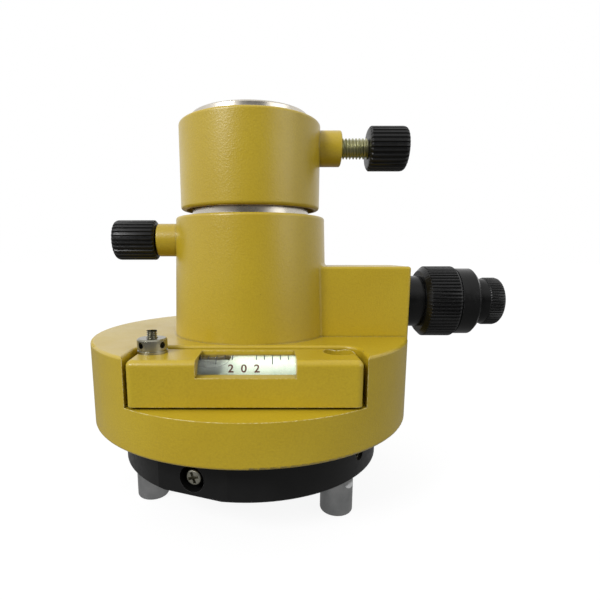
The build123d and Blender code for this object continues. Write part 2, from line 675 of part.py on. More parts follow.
def make_reticle_housing():
    housing = turned(
        (REDUCED_RADIUS, COVER_START),
        (RETICLE_HOUSING_RADIUS, COVER_START),
        (RETICLE_HOUSING_RADIUS, RETICLE_HOUSING_END),
        (EYE_SEAT_RADIUS, RETICLE_HOUSING_END),
        (EYE_SEAT_RADIUS, RETICLE_WALL),
        (7.4, RETICLE_WALL),
        (7.4, REDUCED_END),
        (REDUCED_RADIUS, REDUCED_END),
    )
    for angle in RETICLE_SCREW_ANGLES:
        housing -= Pos(0, 0, RETICLE_PLACE) * Rot(0, 0, angle) * Rot(0, 90, 0) * rod(0.8, 5, 10)
    return plummet(housing)


def make_reticle_group():
    cell = tube(RETICLE_CELL_RADIUS, RETICLE_RADIUS, RETICLE_PLACE - 1.1, RETICLE_PLACE + 1.1)
    glass = rod(RETICLE_RADIUS, RETICLE_PLACE - 0.5, RETICLE_PLACE + 0.5)
    screw = rod(RETICLE_SCREW_RADIUS, RETICLE_CELL_RADIUS, RETICLE_HOUSING_RADIUS - 0.1)
    screws = Compound([radial(screw, angle, RETICLE_PLACE) for angle in RETICLE_SCREW_ANGLES])
    return plummet(cell, glass, screws)


def make_reticle_cover():
    cover = turned(
        (RETICLE_HOUSING_RADIUS, COVER_START),
        (COVER_RADIUS, COVER_START),
        (COVER_RADIUS, COVER_END - 0.9),
        (COVER_RADIUS - 0.9, COVER_END),
        (COVER_MOUTH_RADIUS, COVER_END),
        (COVER_MOUTH_RADIUS, COVER_LIP),
        (RETICLE_HOUSING_RADIUS, COVER_LIP),
    )
    return plummet(cover)


def make_eyepiece_barrel():
    barrel = turned(
        (EYE_BORE_RADIUS, RETICLE_WALL),
        (EYE_SEAT_RADIUS, RETICLE_WALL),
        (EYE_SEAT_RADIUS, RETICLE_HOUSING_END),
        (EYE_THREAD_RADIUS, RETICLE_HOUSING_END),
        (EYE_THREAD_RADIUS, KNOB_START + 1.4),
        (EYE_BORE_RADIUS, KNOB_START + 1.4),
    )
    return plummet(barrel)


def make_eyepiece_group():
    tube_end = KNOB_START + 2.9
    sleeve = tube(EYE_BORE_RADIUS - 0.05, EYE_LENS_RADIUS, 69.4, tube_end)
    sleeve += tube(EYE_THREAD_RADIUS - 0.05, EYE_LENS_RADIUS, tube_end - 0.6, tube_end)
    field_lens = turned((0, 70.2), (EYE_LENS_RADIUS, 70.2), (EYE_LENS_RADIUS, 71.2), (0, 71.9))
    eye_lens = turned((0, 73.2), (EYE_LENS_RADIUS, 73.8), (EYE_LENS_RADIUS, 74.9), (0, 74.9))
    knob = rod(KNOB_RADIUS, KNOB_START, KNOB_END)
    knob = fillet(rims(knob, KNOB_RADIUS, KNOB_END), 1.6)
    knob += turned(
        (0, SKIRT_START),
        (SKIRT_START_RADIUS, SKIRT_START),
        (SKIRT_RADIUS, SKIRT_CONE_END),
        (SKIRT_RADIUS, KNOB_START),
        (0, KNOB_START),
    )
    knob -= rod(KNOB_BORE_RADIUS, SKIRT_START - 1, tube_end + 0.05)
    knob -= rod(EYE_HOLE_RADIUS, KNOB_START, KNOB_END + 1)
    return plummet(sleeve, field_lens, eye_lens, knob)


# Prism and its mount

def wedge(y_range):
    """Right-angled prism between two Y planes, its long face up and towards -X."""
    top = PRISM_BOTTOM + 2 * PRISM_HALF
    corners = [(PRISM_HALF, PRISM_BOTTOM), (PRISM_HALF, top), (-PRISM_HALF, PRISM_BOTTOM)]
    outline = make_face(Polyline(*[(x, y_range[0], z) for x, z in corners], close=True))
    return extrude(outline, y_range[1] - y_range[0], dir=(0, 1, 0))


def on_long_face(shape):
    """Place a shape made on the XY plane on the prism's long face."""
    return Pos(0, 0, PRISM_BOTTOM + PRISM_HALF) * Rot(0, -45, 0) * shape


def make_prism_clip_screws():
    screw = rod(M2_RADIUS, -3.0, 1.0) + rod(1.9, 1.0, 2.2)
    return [on_long_face(Pos(0, side * 6.3, 0) * screw) for side in (-1, 1)]


def make_prism_clip():
    clip = on_long_face(block((-5.0, 5.0), (-CHEEK_OUTER, CHEEK_OUTER), (0, 1.0)))
    for screw in make_prism_clip_screws():
        clip -= screw
    return clip


def make_prism_mount():
    mount = rod(PRISM_MOUNT_RADIUS, LEDGE_HEIGHT, PRISM_BOTTOM)
    mount -= rod(4.3, LEDGE_HEIGHT - 1, PRISM_BOTTOM + 1)
    mount += wedge((CHEEK_INNER, CHEEK_OUTER)) + wedge((-CHEEK_OUTER, -CHEEK_INNER))
    for screw in make_prism_clip_screws():
        mount -= screw
    for hole in ring_of(
        rod(M2_RADIUS, LEDGE_HEIGHT - 1, PRISM_BOTTOM + 1), MOUNT_SCREW_CIRCLE_RADIUS, MOUNT_SCREW_ANGLES
    ):
        mount -= hole
    return mount


def make_prism_mount_screws():
    screw = rod(M2_RADIUS, LEDGE_HEIGHT - 4, PRISM_BOTTOM) + rod(1.8, PRISM_BOTTOM, PRISM_BOTTOM + 1.4)
    return ring_of(screw, MOUNT_SCREW_CIRCLE_RADIUS, MOUNT_SCREW_ANGLES)


def make_parts():
    """Every node of the adapter, by name."""
    upper_pad, upper_stud, upper_knob = make_clamp(
        UPPER_PAD_TIP, UPPER_KNOB_START, UPPER_KNOB_LENGTH, UPPER_KNOB_RADIUS, UPPER_CLAMP_HEIGHT, 1
    )
    lower_pad, lower_stud, lower_knob = make_clamp(
        LOWER_PAD_TIP, LOWER_KNOB_START, LOWER_KNOB_LENGTH, LOWER_KNOB_RADIUS, LOWER_CLAMP_HEIGHT, -1
    )
    objective_lens, objective_ring = make_objective()
    focusing_cell, focusing_pin, focusing_lens = make_focusing_group()
    reticle_cell, reticle_glass, reticle_screws = make_reticle_group()
    eyepiece_tube, field_lens, eye_lens, eyepiece_knob = make_eyepiece_group()
    axis_screws = ring_of(axis_screw_shape(), AXIS_SCREW_CIRCLE_RADIUS, AXIS_SCREW_ANGLES)
    return {
        "base_plate": make_base_plate(),
        "feet": make_feet(),
        "foot_grub_screws": make_foot_grub_screws(),
        "base_lock_screw": make_base_lock_screw(),
        "lower_axis": make_lower_axis(),
        "axis_screws": axis_screws,
        "thrust_washer": tube(20.0, JOURNAL_RADIUS + 0.1, FLANGE_TOP, WASHER_TOP),
        "axis_nut": make_axis_nut(),
        "housing": make_housing(),
        "lower_bush": tube(
            LOWER_BORE_RADIUS, JOURNAL_RADIUS + RUNNING_CLEARANCE, WASHER_TOP + 0.05, JOURNAL_TOP
        ),
        "upper_bush": make_upper_bush(),
        "collar": make_collar(),
        "collar_grub_screws": make_collar_grub_screws(),
        "top_spindle": make_top_spindle(),
        "spindle_circlip": make_spindle_circlip(),
        "upper_clamp_pad": upper_pad,
        "upper_clamp_screw": upper_stud,
        "upper_clamp_knob": upper_knob,
        "lower_clamp_pad": lower_pad,
        "lower_clamp_screw": lower_stud,
        "lower_clamp_knob": lower_knob,
        "level_holder": make_level_holder(),
        "vial": make_vial(),
        "vial_liquid": make_vial_liquid(),
        "vial_cradles": make_vial_cradles(),
        "capstan_nut": make_capstan_nut(),
        "level_stud": make_level_stud(),
        "level_spring": make_level_spring(),
        "pivot_screw": make_pivot_screw(),
        "pivot_washer": make_pivot_washer(),
        "plummet_barrel": make_plummet_barrel(),
        "objective_lens": objective_lens,
        "objective_ring": objective_ring,
        "focusing_ring": make_focusing_ring(),
        "focusing_cell": focusing_cell,
        "focusing_pin": focusing_pin,
        "focusing_lens": focusing_lens,
        "reticle_housing": make_reticle_housing(),
        "reticle_cell": reticle_cell,
        "reticle_glass": reticle_glass,
        "reticle_screws": reticle_screws,
        "reticle_cover": make_reticle_cover(),
        "eyepiece_barrel": make_eyepiece_barrel(),
        "eyepiece_tube": eyepiece_tube,
        "field_lens": field_lens,
        "eye_lens": eye_lens,
        "eyepiece_knob": eyepiece_knob,
        "plummet_prism": wedge((-PRISM_HALF, PRISM_HALF)),
        "prism_mount": make_prism_mount(),
        "prism_mount_screws": make_prism_mount_screws(),
        "prism_clip": make_prism_clip(),
        "prism_clip_screws": make_prism_clip_screws(),
    }


os.makedirs("parts", exist_ok=True)
for name, shape in make_parts().items():
    if isinstance(shape, list):
        shape = Compound(shape)
    export_step(shape, f"parts/{name}.step")
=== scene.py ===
import json
from math import cos, pi, radians, sin, sqrt, tau

import bmesh
import bpy
from mathutils import Matrix, Vector


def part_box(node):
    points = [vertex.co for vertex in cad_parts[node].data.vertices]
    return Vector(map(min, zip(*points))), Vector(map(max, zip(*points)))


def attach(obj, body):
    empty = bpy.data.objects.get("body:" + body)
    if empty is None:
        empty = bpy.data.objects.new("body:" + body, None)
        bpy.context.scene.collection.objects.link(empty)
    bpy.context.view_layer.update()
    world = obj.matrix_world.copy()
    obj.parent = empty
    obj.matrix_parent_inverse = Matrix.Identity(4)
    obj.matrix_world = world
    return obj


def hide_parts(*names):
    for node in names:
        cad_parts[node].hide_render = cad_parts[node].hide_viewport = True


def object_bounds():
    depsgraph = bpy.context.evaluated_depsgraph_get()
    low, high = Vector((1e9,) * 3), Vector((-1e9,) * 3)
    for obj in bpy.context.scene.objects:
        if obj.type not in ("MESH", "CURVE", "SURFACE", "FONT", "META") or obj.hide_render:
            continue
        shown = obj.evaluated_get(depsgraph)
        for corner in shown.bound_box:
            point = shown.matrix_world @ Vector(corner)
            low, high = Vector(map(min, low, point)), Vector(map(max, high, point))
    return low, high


# Looks of the rotating tribrach adapter: paint, metals, glass and the fine
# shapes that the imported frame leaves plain. Lengths are in metres.

MM = 0.001
SHARP_ANGLE = radians(32)
VIAL_WALL = 0.9 * MM
BUBBLE_X = -8.8 * MM
MARKS_MIDDLE = -0.3 * MM
PRINT_HEIGHT = 0.015 * MM

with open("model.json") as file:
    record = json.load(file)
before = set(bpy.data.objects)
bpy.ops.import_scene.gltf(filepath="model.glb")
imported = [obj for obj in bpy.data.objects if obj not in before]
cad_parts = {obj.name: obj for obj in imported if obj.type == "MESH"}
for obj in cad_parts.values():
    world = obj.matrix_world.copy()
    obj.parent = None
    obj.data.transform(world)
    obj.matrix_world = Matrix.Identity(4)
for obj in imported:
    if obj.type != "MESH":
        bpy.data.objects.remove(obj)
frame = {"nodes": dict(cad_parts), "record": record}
cad_low, cad_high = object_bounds()


# Material helpers

def new_material(name):
    """A node material with its tree and its Principled shader."""
    material = bpy.data.materials.new(name)
    material.use_nodes = True
    return material, material.node_tree, material.node_tree.nodes["Principled BSDF"]


def add(tree, kind, inputs=None, **settings):
    """A node with its settings made and its inputs linked or set."""
    node = tree.nodes.new(kind)
    for name, value in settings.items():
        setattr(node, name, value)
    for name, value in (inputs or {}).items():
        plug(tree, node.inputs[name], value)
    return node


def plug(tree, socket, value):
    """Link a socket to another node's output, or set its value."""
    if isinstance(value, bpy.types.NodeSocket):
        tree.links.new(value, socket)
    else:
        socket.default_value = value


def place(tree):
    """Coordinates in metres, in the row frame at rest."""
    return add(tree, "ShaderNodeTexCoord").outputs["Object"]


def noise(tree, where, scale, detail=2.0, roughness=0.5):
    inputs = {"Vector": where, "Scale": scale, "Detail": detail, "Roughness": roughness}
    return add(tree, "ShaderNodeTexNoise", inputs).outputs["Fac"]


def ramp(tree, value, low, high, to_low=0.0, to_high=1.0):
    """Map a value from one range to another, held at both ends."""
    inputs = {"Value": value, "From Min": low, "From Max": high, "To Min": to_low, "To Max": to_high}
    return add(tree, "ShaderNodeMapRange", inputs).outputs["Result"]


def blend_colours(tree, factor, first, second):
    node = add(tree, "ShaderNodeMix", data_type="RGBA")
    plug(tree, node.inputs[0], factor)
    plug(tree, node.inputs[6], first)
    plug(tree, node.inputs[7], second)
    return node.outputs[2]


def grey(value, tint=(1.0, 1.0, 1.0)):
    """A colour from a brightness and a tint."""
    return tuple(value * t for t in tint) + (1,)


def calculate(tree, operation, first, second=0.0):
    node = add(tree, "ShaderNodeMath", operation=operation)
    plug(tree, node.inputs[0], first)
    plug(tree, node.inputs[1], second)
    return node.outputs["Value"]


def relief(tree, shader, height, depth, strength=1.0, normal=None):
    """Bump the shader by a height from 0 to 1 that is depth metres tall."""
    bump = add(tree, "ShaderNodeBump", {"Height": height, "Distance": depth, "Strength": strength})
    if normal is not None:
        tree.links.new(normal, bump.inputs["Normal"])
    tree.links.new(bump.outputs["Normal"], shader.inputs["Normal"])


def soft_edge(tree, radius):
    """Normal of the surface with its edges rounded to a radius."""
    return add(tree, "ShaderNodeBevel", {"Radius": radius}, samples=6).outputs["Normal"]


def edge_mask(tree, radius, low, high):
    """1 along sharp edges and 0 on smooth faces."""
    rounded = soft_edge(tree, radius)
    true_normal = add(tree, "ShaderNodeNewGeometry").outputs["Normal"]
    dot = add(tree, "ShaderNodeVectorMath", {0: rounded, 1: true_normal}, operation="DOT_PRODUCT")
    return ramp(tree, calculate(tree, "SUBTRACT", 1.0, dot.outputs["Value"]), low, high)


def openness(tree, reach, low, high):
    """1 on open surfaces and 0 in corners and crevices."""
    shade = add(tree, "ShaderNodeAmbientOcclusion", {"Distance": reach}, samples=6)
    return ramp(tree, shade.outputs["AO"], low, high)


# Materials

def yellow_paint():
    """Ochre powder coat: orange-peel skin, slow tone changes, dark specks, painted shade along the pebble
    cell borders and in corners and crevices, and pale edges that are partly worn paint and partly a
    painted highlight.
    """
    material, tree, shader = new_material("yellow_paint")
    where = place(tree)
    tone = ramp(tree, noise(tree, where, 38, 3.0), 0.3, 0.7)
    colour = blend_colours(tree, tone, (0.425, 0.297, 0.011, 1), (0.465, 0.338, 0.015, 1))
    pebble_inputs = {"Vector": where, "Scale": 2300.0}
    pebble_cells = add(tree, "ShaderNodeTexVoronoi", pebble_inputs, feature="SMOOTH_F1")
    pebbles = ramp(tree, pebble_cells.outputs["Distance"], 0.1, 0.8)
    # Painted shade: the paint is darker along the borders of the orange-peel pebble cells.
    painted_pebble_shade = calculate(tree, "MULTIPLY", pebbles, 0.30)
    colour = blend_colours(tree, painted_pebble_shade, colour, (0.290, 0.195, 0.006, 1))
    speck_cells = add(tree, "ShaderNodeTexVoronoi", {"Vector": where, "Scale": 150.0, "Randomness": 1.0})
    speck_size = ramp(tree, noise(tree, where, 61, 1.0), 0.56, 0.74, 0.0, 0.085)
    specks = calculate(tree, "LESS_THAN", speck_cells.outputs["Distance"], speck_size)
    colour = blend_colours(tree, calculate(tree, "MULTIPLY", specks, 0.75), colour, (0.07, 0.05, 0.01, 1))
    # Pale edges: partly paint worn off the edges, partly a painted highlight and glints along them.
    edge_wear_and_highlight = edge_mask(tree, 0.40 * MM, 0.02, 0.22)
    patches = ramp(tree, noise(tree, where, 1500, 4.0), 0.44, 0.58, 0.10, 0.95)
    open_surface = openness(tree, 0.9 * MM, 0.60, 0.90)
    edge_wear_and_highlight = calculate(tree, "MULTIPLY", calculate(tree, "MULTIPLY", edge_wear_and_highlight, patches), open_surface)
    colour = blend_colours(tree, edge_wear_and_highlight, colour, (0.74, 0.66, 0.36, 1))
    # Painted shade: the paint is darkened in corners and crevices, where the occlusion mask is low.
    painted_crevice_shade = ramp(tree, open_surface, 0.0, 0.9, 0.55, 0.0)
    colour = blend_colours(tree, painted_crevice_shade, colour, (0.16, 0.11, 0.010, 1))
    plug(tree, shader.inputs["Base Color"], colour)
    gloss = ramp(tree, noise(tree, where, 120, 3.0), 0.3, 0.7, 0.30, 0.40)
    plug(tree, shader.inputs["Roughness"], gloss)
    shader.inputs["Specular IOR Level"].default_value = 0.42
    shader.inputs["Coat Weight"].default_value = 0.34
    shader.inputs["Coat Roughness"].default_value = 0.30
    fine = noise(tree, where, 2700, 3.0, 0.6)
    skin = calculate(tree, "ADD", calculate(tree, "MULTIPLY", pebbles, 0.6), fine)
    relief(tree, shader, skin, 0.046 * MM, 0.9, soft_edge(tree, 0.3 * MM))
    return material


def metal(
    name, first, second, roughness, grain_scale, grain_depth, stretch=(1, 1, 1), rounding=0.12 * MM
):
    """Machined or plated metal: two tones, uneven gloss, and fine lines stretched along one way."""
    material, tree, shader = new_material(name)
    where = place(tree)
    lines_place = add(tree, "ShaderNodeMapping", {"Vector": where, "Scale": stretch}).outputs["Vector"]
    lines = noise(tree, lines_place, grain_scale, 3.0, 0.6)
    blotches = ramp(tree, noise(tree, where, 160, 3.0), 0.3, 0.7)
    colour = blend_colours(tree, blotches, first, second)
    plug(tree, shader.inputs["Base Color"], colour)
    shader.inputs["Metallic"].default_value = 1.0
    half_lines = calculate(tree, "MULTIPLY", lines, 0.5)
    half_blotches = calculate(tree, "MULTIPLY", blotches, 0.5)
    spread = calculate(tree, "ADD", half_lines, half_blotches)
    gloss = ramp(tree, spread, 0.25, 0.75, roughness - 0.07, roughness + 0.07)
    plug(tree, shader.inputs["Roughness"], gloss)
    relief(tree, shader, lines, grain_depth, 0.5, soft_edge(tree, rounding))
    return material


def black_coat(name, roughness, shade, specular, edge_wear_and_highlight=(0.10, 0.10, 0.105, 1)):
    """Black anodised or moulded surface with a fine grain and greyed edges."""
    material, tree, shader = new_material(name)
    where = place(tree)
    cloud = ramp(tree, noise(tree, where, 90, 4.0), 0.3, 0.7)
    colour = blend_colours(tree, cloud, grey(shade, (0.8, 0.8, 0.78)), grey(shade * 1.3))
    # Greyed edges: partly wear, partly a painted highlight along the edges.
    colour = blend_colours(tree, edge_mask(tree, 0.15 * MM, 0.05, 0.4), colour, edge_wear_and_highlight)
    plug(tree, shader.inputs["Base Color"], colour)
    gloss = ramp(tree, noise(tree, where, 700, 3.0), 0.3, 0.7, roughness - 0.05, roughness + 0.08)
    plug(tree, shader.inputs["Roughness"], gloss)
    shader.inputs["Specular IOR Level"].default_value = specular
    relief(tree, shader, noise(tree, where, 2200, 3.0), 0.006 * MM, 0.5, soft_edge(tree, 0.08 * MM))
    return material


def clear_glass(name, tint, roughness=0.0, ior=1.5):
    """Glass with a faint tint and a little dust in its gloss."""
    material, tree, shader = new_material(name)
    where = place(tree)
    dust = ramp(tree, noise(tree, where, 500, 4.0), 0.55, 0.8)
    dusty_tint = grey(0.94, tint[:3])
    plug(tree, shader.inputs["Base Color"], blend_colours(tree, dust, tint, dusty_tint))
    plug(tree, shader.inputs["Roughness"], ramp(tree, dust, 0.0, 1.0, roughness, roughness + 0.08))
    shader.inputs["Transmission Weight"].default_value = 1.0
    shader.inputs["IOR"].default_value = ior
    lamp_ray = add(tree, "ShaderNodeLightPath").outputs["Is Shadow Ray"]
    clear = add(tree, "ShaderNodeBsdfTransparent", {"Color": tint})
    mix_inputs = {0: lamp_ray, 1: shader.outputs["BSDF"], 2: clear.outputs["BSDF"]}
    mix = add(tree, "ShaderNodeMixShader", mix_inputs)
    plug(tree, tree.nodes["Material Output"].inputs["Surface"], mix.outputs["Shader"])
    return material


def enamel(name, first, second, roughness=0.5):
    """Matt print or plastic with a slight cloud."""
    material, tree, shader = new_material(name)
    where = place(tree)
    cloud = ramp(tree, noise(tree, where, 400, 3.0), 0.3, 0.7)
    plug(tree, shader.inputs["Base Color"], blend_colours(tree, cloud, first, second))
    plug(tree, shader.inputs["Roughness"], ramp(tree, cloud, 0.0, 1.0, roughness - 0.06, roughness + 0.06))
    relief(tree, shader, noise(tree, where, 1500, 2.0), 0.01 * MM, 0.4)
    return material


MATERIALS = {
    "yellow_paint": yellow_paint(),
    "black_anodised": black_coat("black_anodised", 0.21, 0.0032, 0.28),
    "black_plate": black_coat("black_plate", 0.34, 0.006, 0.24),
    "black_plastic": black_coat("black_plastic", 0.34, 0.0055, 0.30, (0.050, 0.053, 0.058, 1)),
    "silver_metal": metal(
        "silver_metal", (0.56, 0.52, 0.44, 1), (0.70, 0.65, 0.57, 1),
        0.27, 60, 0.010 * MM, (1, 1, 90),
    ),
    "feet_steel": metal(
        "feet_steel", grey(0.32, (0.97, 1.0, 1.0)), grey(0.48),
        0.19, 900, 0.012 * MM, (1, 1, 0.2),
    ),
    "screw_steel": metal(
        "screw_steel", (0.27, 0.26, 0.20, 1), (0.42, 0.41, 0.34, 1),
        0.30, 1200, 0.010 * MM, rounding=0.04 * MM,
    ),
    "zinc_steel": metal(
        "zinc_steel", (0.31, 0.32, 0.17, 1), (0.45, 0.44, 0.28, 1),
        0.28, 1200, 0.008 * MM, rounding=0.05 * MM,
    ),
    "bronze": metal(
        "bronze", (0.45, 0.28, 0.12, 1), (0.56, 0.37, 0.17, 1),
        0.32, 60, 0.008 * MM, (1, 1, 60),
    ),
    "brass": metal(
        "brass", (0.68, 0.50, 0.20, 1), (0.78, 0.60, 0.28, 1),
        0.28, 60, 0.008 * MM, (1, 1, 60),
    ),
    "optical_glass": clear_glass("optical_glass", (0.93, 0.97, 0.97, 1)),
    "vial_glass": clear_glass("vial_glass", (0.975, 0.985, 0.975, 1)),
    "spirit": clear_glass("spirit", (0.955, 0.970, 0.925, 1), 0.0, 1.36),
    "white_plastic": enamel("white_plastic", (0.76, 0.77, 0.72, 1), (0.83, 0.83, 0.79, 1)),
    "white_enamel": enamel("white_enamel", (0.60, 0.63, 0.58, 1), (0.68, 0.70, 0.66, 1), 0.6),
    "black_print": enamel("black_print", (0.012, 0.012, 0.012, 1), (0.03, 0.03, 0.03, 1)),
    "brown_print": enamel("brown_print", (0.062, 0.013, 0.005, 1), (0.085, 0.020, 0.008, 1)),
}


def dress_frame():
    """Give every CAD node the material of its slot in the record."""
    own = {"base_plate": "black_plate"}
    for part in frame["record"]["subparts"]:
        node = frame["nodes"][part["node"]]
        node.data.materials.clear()
        node.data.materials.append(MATERIALS[own.get(part["node"], part["material_slot"])])


# Mesh helpers

def make_object(name, mesh_data, material, body, replaces=()):
    """Turn a bmesh into a piece that rides on a body."""
    bmesh.ops.recalc_face_normals(mesh_data, faces=mesh_data.faces)
    for face in mesh_data.faces:
        face.smooth = True
    for edge in mesh_data.edges:
        edge.smooth = edge.calc_face_angle(0.0) < SHARP_ANGLE
    mesh = bpy.data.meshes.new(name)
    mesh_data.to_mesh(mesh)
    mesh_data.free()
    mesh.materials.append(MATERIALS[material])
    piece = bpy.data.objects.new(name, mesh)
    bpy.context.scene.collection.objects.link(piece)
    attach(piece, body)
    if replaces:
        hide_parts(*replaces)
    return piece


def skin_rings(mesh_data, rings, closed=True):
    """Faces between neighbouring rings of vertices."""
    for first, second in zip(rings, rings[1:]):
        count = len(first)
        for index in range(count if closed else count - 1):
            after = (index + 1) % count
            mesh_data.faces.new((first[index], first[after], second[after], second[index]))


def cap_ring(mesh_data, ring, centre):
    """Close a ring with triangles to a point."""
    middle = mesh_data.verts.new(centre)
    for index, vertex in enumerate(ring):
        mesh_data.faces.new((vertex, ring[(index + 1) % len(ring)], middle))


def axis_frame(origin, direction):
    """Matrix that lays the Z axis along a direction, from an origin."""
    turn = Vector(direction).to_track_quat("Z", "Y").to_matrix().to_4x4()
    return Matrix.Translation(origin) @ turn


RIB_SHAPE = (0.0, 0.0, 0.0, 0.0, 0.55, 1.0, 1.0, 0.55)


def ribbed_turning(profile, ribs, groove_depth, frame_matrix, hollow=False):
    """Turned piece whose profile points are (along, radius, share of the groove depth).

    A hollow piece's last point joins its first; a solid piece has its two ends closed.
    """
    mesh_data = bmesh.new()
    count = ribs * len(RIB_SHAPE)
    rings = []
    for along, radius, share in profile:
        ring = []
        for index in range(count):
            angle = tau * index / count
            r = radius - groove_depth * share * RIB_SHAPE[index % len(RIB_SHAPE)]
            ring.append(mesh_data.verts.new((r * cos(angle), r * sin(angle), along)))
        rings.append(ring)
    if hollow:
        skin_rings(mesh_data, rings + rings[:1])
    else:
        skin_rings(mesh_data, rings)
        cap_ring(mesh_data, rings[0], (0, 0, profile[0][0]))
        cap_ring(mesh_data, rings[-1], (0, 0, profile[-1][0]))
    bmesh.ops.transform(mesh_data, matrix=frame_matrix, verts=mesh_data.verts)
    return mesh_data


def screw_thread(start, end, pitch, crest_radius, frame_matrix, steps=48):
    """Right-handed V thread from start to end along Z, cut flat at both ends."""
    mesh_data = bmesh.new()
    depth = 0.58 * pitch
    root_radius = crest_radius - depth
    shape = ((0.0, crest_radius), (0.14, crest_radius), (0.50, root_radius), (0.64, root_radius))
    turns = int((end - start) / pitch) + 2
    rows = []
    for turn in range(turns + 1):
        for share, radius in shape:
            row = []
            for step in range(steps):
                angle = tau * step / steps
                along = start + pitch * (turn - 1 + share + step / steps)
                along = min(max(along, start), end)
                row.append(mesh_data.verts.new((radius * cos(angle), radius * sin(angle), along)))
            rows.append(row)
    # The end of each row meets the start of the row one turn on, so the rows run on as a helix.
    width = len(shape)
    for index, row in enumerate(rows[:-1]):
        above = rows[index + 1]
        for step in range(steps - 1):
            mesh_data.faces.new((row[step], row[step + 1], above[step + 1], above[step]))
        if index + width + 1 < len(rows):
            joint_row, joint_above = rows[index + width], rows[index + width + 1]
            mesh_data.faces.new((row[-1], joint_row[0], joint_above[0], above[-1]))
    bmesh.ops.dissolve_degenerate(mesh_data, dist=1e-7, edges=mesh_data.edges)
    bmesh.ops.transform(mesh_data, matrix=frame_matrix, verts=mesh_data.verts)
    return mesh_data


# Clamp knobs and threads

def clamp_knob(name, body, outward):
    """Black fluted knob, its flutes running out before the rounded end."""
    low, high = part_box(name)
    centre_height = (low.z + high.z) / 2
    start, end = (low.x, high.x) if outward > 0 else (-high.x, -low.x)
    length = end - start
    radius = (high.z - low.z) / 2
    stud_radius = 2.9 * MM
    profile = (
        (0.0, stud_radius, 0.0),
        (0.0, radius - 0.9 * MM, 0.0),
        (0.15 * MM, radius - 0.55 * MM, 0.3),
        (0.55 * MM, radius - 0.05 * MM, 1.0),
        (0.75 * MM, radius, 1.0),
        (length - 1.4 * MM, radius, 1.0),
        (length - 0.75 * MM, radius - 0.12 * MM, 1.0),
        (length - 0.35 * MM, radius - 0.36 * MM, 0.9),
        (length - 0.1 * MM, radius - 0.72 * MM, 0.45),
        (length, radius - 1.15 * MM, 0.0),
        (length, radius - 2.4 * MM, 0.0),
        (length - 0.25 * MM, radius - 2.7 * MM, 0.0),
    )
    place_matrix = axis_frame((outward * start, 0, centre_height), (outward, 0, 0))
    knob = ribbed_turning(profile, 28, 0.42 * MM, place_matrix)
    return make_object(f"{name}_fluted", knob, "black_plastic", body, replaces=(name,))


def clamp_thread(name, body, outward):
    """M6 thread of a clamp screw."""
    low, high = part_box(name)
    centre_height = (low.z + high.z) / 2
    start, end = (low.x, high.x) if outward > 0 else (-high.x, -low.x)
    place_matrix = axis_frame((0, 0, centre_height), (outward, 0, 0))
    thread = screw_thread(start, end, 1.0 * MM, (high.z - low.z) / 2, place_matrix)
    return make_object(f"{name}_thread", thread, "zinc_steel", body, replaces=(name,))


def level_stud_thread():
    """M3 thread of the stud that carries the capstan nut."""
    low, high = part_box("level_stud")
    centre = (low + high) / 2
    radius = (high.x - low.x) / 2
    top_frame = Matrix.Translation((centre.x, centre.y, 0))
    thread = screw_thread(low.z, high.z, 0.5 * MM, radius, top_frame, 32)
    return make_object("level_stud_thread", thread, "screw_steel", "housing", replaces=("level_stud",))


# Plummet rings

def plummet_ring(name, body, profile, ribs, groove_depth, material="black_anodised"):
    """Ribbed turning on the sight line, its profile measured from the node's inner end."""
    low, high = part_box(name)
    place_matrix = axis_frame((low.x, 0, (low.z + high.z) / 2), (1, 0, 0))
    ring = ribbed_turning(profile, ribs, groove_depth, place_matrix, hollow=True)
    return make_object(f"{name}_ribbed", ring, material, body, replaces=(name,))


def focusing_ring():
    low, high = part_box("focusing_ring")
    length = high.x - low.x
    radius = (high.z - low.z) / 2
    bore = 7.05 * MM
    cone_end = 1.4 * MM
    profile = (
        (0.5 * MM, bore, 0.0),
        (0.0, bore + 0.1 * MM, 0.0),
        (0.0, radius - 1.45 * MM, 0.0),
        (0.10 * MM, radius - 1.30 * MM, 0.0),
        (cone_end - 0.22 * MM, radius - 0.24 * MM, 0.2),
        (cone_end, radius - 0.02 * MM, 1.0),
        (length - 1.10 * MM, radius, 1.0),
        (length - 0.85 * MM, radius - 0.05 * MM, 0.7),
        (length - 0.10 * MM, radius - 0.75 * MM, 0.0),
        (length, radius - 0.85 * MM, 0.0),
        (length, bore + 0.1 * MM, 0.0),
        (length - 0.5 * MM, bore, 0.0),
    )
    return plummet_ring("focusing_ring", "focusing_ring", profile, 60, 0.40 * MM)


